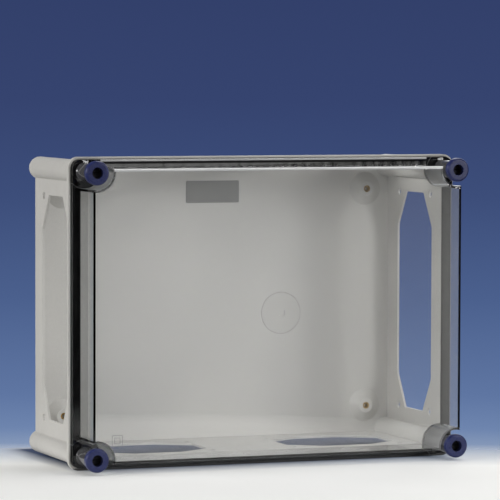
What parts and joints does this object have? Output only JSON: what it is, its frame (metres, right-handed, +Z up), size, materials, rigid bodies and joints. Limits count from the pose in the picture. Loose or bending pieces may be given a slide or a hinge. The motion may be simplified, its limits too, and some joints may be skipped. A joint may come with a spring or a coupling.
{
  "type": "busbar enclosure",
  "caption": "Grey moulded electrical enclosure with open octagonal wall windows for side-by-side coupling and a deep clear lid held by captive blue cover screws.",
  "frame": {"origin": "middle of the width and depth, at the height of the rim's lower edge", "axes": "+X across the front to the right, +Y from the lid to the back, +Z up as the enclosure stands in the picture"},
  "size_m": [0.5, 0.23, 0.375],
  "materials": {
    "base_plastic": "fine satin moulding",
    "clear_plastic": "clear, polished",
    "gasket_rubber": "soft, matte",
    "knob_plastic": "semi-gloss blue",
    "steel": "zinc plated",
    "black_steel": "blackened",
    "brass": "turned, plain"
  },
  "bodies": {
    "base": {"base_shell": "base_plastic", "post_insert_top_left": "brass", "post_insert_top_right": "brass", "post_insert_bottom_left": "brass", "post_insert_bottom_right": "brass", "plate_insert_top_left": "brass", "plate_insert_top_right": "brass", "plate_insert_bottom_left": "brass", "plate_insert_bottom_right": "brass"},
    "lid": {"clear_lid": "clear_plastic", "lid_gasket": "gasket_rubber"},
    "ring_top_left": {"retaining_ring_top_left": "steel"},
    "screw_top_left": {"screw_knob_top_left": "knob_plastic", "screw_core_top_left": "black_steel"},
    "ring_top_right": {"retaining_ring_top_right": "steel"},
    "screw_top_right": {"screw_knob_top_right": "knob_plastic", "screw_core_top_right": "black_steel"},
    "ring_bottom_left": {"retaining_ring_bottom_left": "steel"},
    "screw_bottom_left": {"screw_knob_bottom_left": "knob_plastic", "screw_core_bottom_left": "black_steel"},
    "ring_bottom_right": {"retaining_ring_bottom_right": "steel"},
    "screw_bottom_right": {"screw_knob_bottom_right": "knob_plastic", "screw_core_bottom_right": "black_steel"}
  },
  "joints": [
    {"name": "lid_lift", "type": "slide", "parent": "base", "child": "lid", "axis": [0, -1, 0], "range_m": [0, 0.12]},
    {"name": "screw_travel_top_left", "type": "slide", "parent": "lid", "child": "ring_top_left", "axis": [0, -1, 0], "range_m": [0, 0.0115]},
    {"name": "screw_turn_top_left", "type": "hinge", "parent": "ring_top_left", "child": "screw_top_left", "pos_m": [-0.23225, -0.115, 0.35725], "axis": [0, -1, 0], "range_deg": [0, 900]},
    {"name": "screw_travel_top_right", "type": "slide", "parent": "lid", "child": "ring_top_right", "axis": [0, -1, 0], "range_m": [0, 0.0115]},
    {"name": "screw_turn_top_right", "type": "hinge", "parent": "ring_top_right", "child": "screw_top_right", "pos_m": [0.23225, -0.115, 0.35725], "axis": [0, -1, 0], "range_deg": [0, 900]},
    {"name": "screw_travel_bottom_left", "type": "slide", "parent": "lid", "child": "ring_bottom_left", "axis": [0, -1, 0], "range_m": [0, 0.0115]},
    {"name": "screw_turn_bottom_left", "type": "hinge", "parent": "ring_bottom_left", "child": "screw_bottom_left", "pos_m": [-0.23225, -0.115, 0.01775], "axis": [0, -1, 0], "range_deg": [0, 900]},
    {"name": "screw_travel_bottom_right", "type": "slide", "parent": "lid", "child": "ring_bottom_right", "axis": [0, -1, 0], "range_m": [0, 0.0115]},
    {"name": "screw_turn_bottom_right", "type": "hinge", "parent": "ring_bottom_right", "child": "screw_bottom_right", "pos_m": [0.23225, -0.115, 0.01775], "axis": [0, -1, 0], "range_deg": [0, 900]}
  ],
  "couplings": [
    {"joint": "screw_travel_top_left", "follows": "screw_turn_top_left", "m_per_rad": 0.0006366},
    {"joint": "screw_travel_top_right", "follows": "screw_turn_top_right", "m_per_rad": 0.0006366},
    {"joint": "screw_travel_bottom_left", "follows": "screw_turn_bottom_left", "m_per_rad": 0.0006366},
    {"joint": "screw_travel_bottom_right", "follows": "screw_turn_bottom_right", "m_per_rad": 0.0006366}
  ]
}
